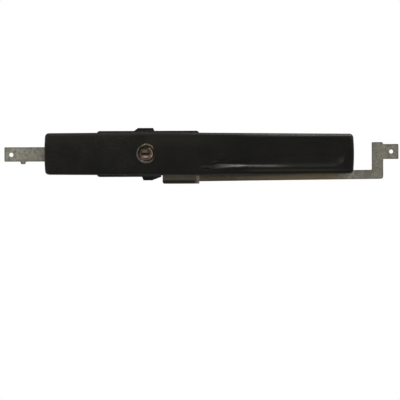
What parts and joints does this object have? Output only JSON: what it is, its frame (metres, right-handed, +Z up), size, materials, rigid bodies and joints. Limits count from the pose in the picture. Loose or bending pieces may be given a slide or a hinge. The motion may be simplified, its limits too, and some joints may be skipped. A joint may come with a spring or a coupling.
{
  "type": "roller garage door lock handle",
  "caption": "Long black lever with a key lock for a roller garage door; turning it draws a straight steel bar and a cranked steel bar inwards to release the door.",
  "frame": {"origin": "on the lever's turning axis, in the plane of the door that the back plate lies on", "axes": "+X to the right as the handle is faced, along the lever's long arm; +Z up the door; the handle faces -Y, and +Y points into the door"},
  "size_m": [0.3555, 0.037, 0.0504],
  "materials": {
    "lever_black_plastic": "satin moulded",
    "housing_black_plastic": "matt moulded",
    "rotor_black_coat": "black coated casting",
    "bar_galvanised_steel": "galvanised strip",
    "plate_galvanised_steel": "galvanised sheet",
    "bracket_dull_steel": "dull folded sheet",
    "cylinder_bronze": "dull bronze plated",
    "plug_bright_bronze": "bronze plated",
    "spindle_bright_steel": "bright turned steel",
    "fastener_zinc_steel": "zinc plated",
    "bush_pale_resin": "natural acetal"
  },
  "bodies": {
    "base": {"back_plate": "plate_galvanised_steel", "base_housing": "housing_black_plastic", "pivot_bush": "bush_pale_resin", "friction_washer": "bush_pale_resin", "housing_screw_1": "fastener_zinc_steel", "housing_screw_2": "fastener_zinc_steel", "housing_screw_3": "fastener_zinc_steel", "housing_screw_4": "fastener_zinc_steel", "bar_guide_bracket": "bracket_dull_steel", "bracket_rivet_1": "fastener_zinc_steel", "bracket_rivet_2": "fastener_zinc_steel", "left_bar_guide": "plate_galvanised_steel", "guide_rivet_1": "fastener_zinc_steel", "guide_rivet_2": "fastener_zinc_steel"},
    "lever": {"lever_handle": "lever_black_plastic", "drive_spindle": "spindle_bright_steel", "flange_screw_1": "fastener_zinc_steel", "flange_screw_2": "fastener_zinc_steel", "drive_rotor": "rotor_black_coat", "upper_drive_pin": "spindle_bright_steel", "lower_drive_pin": "spindle_bright_steel", "end_washer": "fastener_zinc_steel", "end_screw": "fastener_zinc_steel", "cylinder_bezel": "cylinder_bronze", "cylinder_body": "cylinder_bronze"},
    "plug": {"key_plug": "plug_bright_bronze"},
    "bolt": {"locking_bolt": "spindle_bright_steel"},
    "left_bar": {"left_lock_bar": "bar_galvanised_steel"},
    "right_bar": {"right_lock_bar": "bar_galvanised_steel"}
  },
  "joints": [
    {"name": "lever_turn", "type": "hinge", "parent": "base", "child": "lever", "pos_m": [0, -0.0155, 0], "axis": [0, 1, 0], "range_deg": [0, 90]},
    {"name": "left_bar_slide", "type": "slide", "parent": "base", "child": "left_bar", "axis": [1, 0, 0], "range_m": [0, 0.02051]},
    {"name": "right_bar_slide", "type": "slide", "parent": "base", "child": "right_bar", "axis": [-1, 0, 0], "range_m": [0, 0.02051]},
    {"name": "key_plug_turn", "type": "hinge", "parent": "lever", "child": "plug", "pos_m": [0, -0.0291, 0], "axis": [0, 1, 0], "range_deg": [0, 90]},
    {"name": "locking_bolt_slide", "type": "slide", "parent": "lever", "child": "bolt", "axis": [1, 0, 0], "range_m": [0, 0.00453]}
  ],
  "couplings": [
    {"joint": "left_bar_slide", "follows": "lever_turn", "m_per_rad": 0.013055},
    {"joint": "right_bar_slide", "follows": "lever_turn", "m_per_rad": 0.013055},
    {"joint": "locking_bolt_slide", "follows": "key_plug_turn", "m_per_rad": 0.002881}
  ]
}
